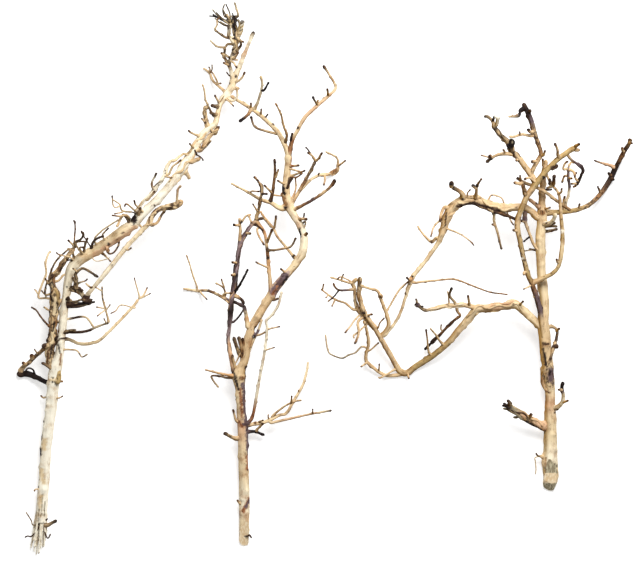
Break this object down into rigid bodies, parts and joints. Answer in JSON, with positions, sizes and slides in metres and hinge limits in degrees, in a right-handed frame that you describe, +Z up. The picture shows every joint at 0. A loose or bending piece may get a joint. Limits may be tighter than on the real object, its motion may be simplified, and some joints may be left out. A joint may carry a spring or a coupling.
{
  "type": "dried branch bundle",
  "caption": "Three dried, leafless branches with crooked limbs, broken spurs and charred tips, lying loose beside each other.",
  "frame": {"origin": "middle of the three branches' box, on the surface they lie on", "axes": "+Z up from the surface, +Y along the trunks from the cut feet to the crowns, +X across the bundle from the long branch to the spreading branch"},
  "size_m": [0.6796, 0.608, 0.1035],
  "materials": {
    "pale_dead_wood": "matte, weathered",
    "tan_barked_wood": "matte, partly barked",
    "warm_tan_wood": "matte, dry"
  },
  "bodies": {
    "root": {"long_branch": "pale_dead_wood", "curved_branch": "tan_barked_wood", "spreading_branch": "warm_tan_wood"}
  },
  "joints": []
}
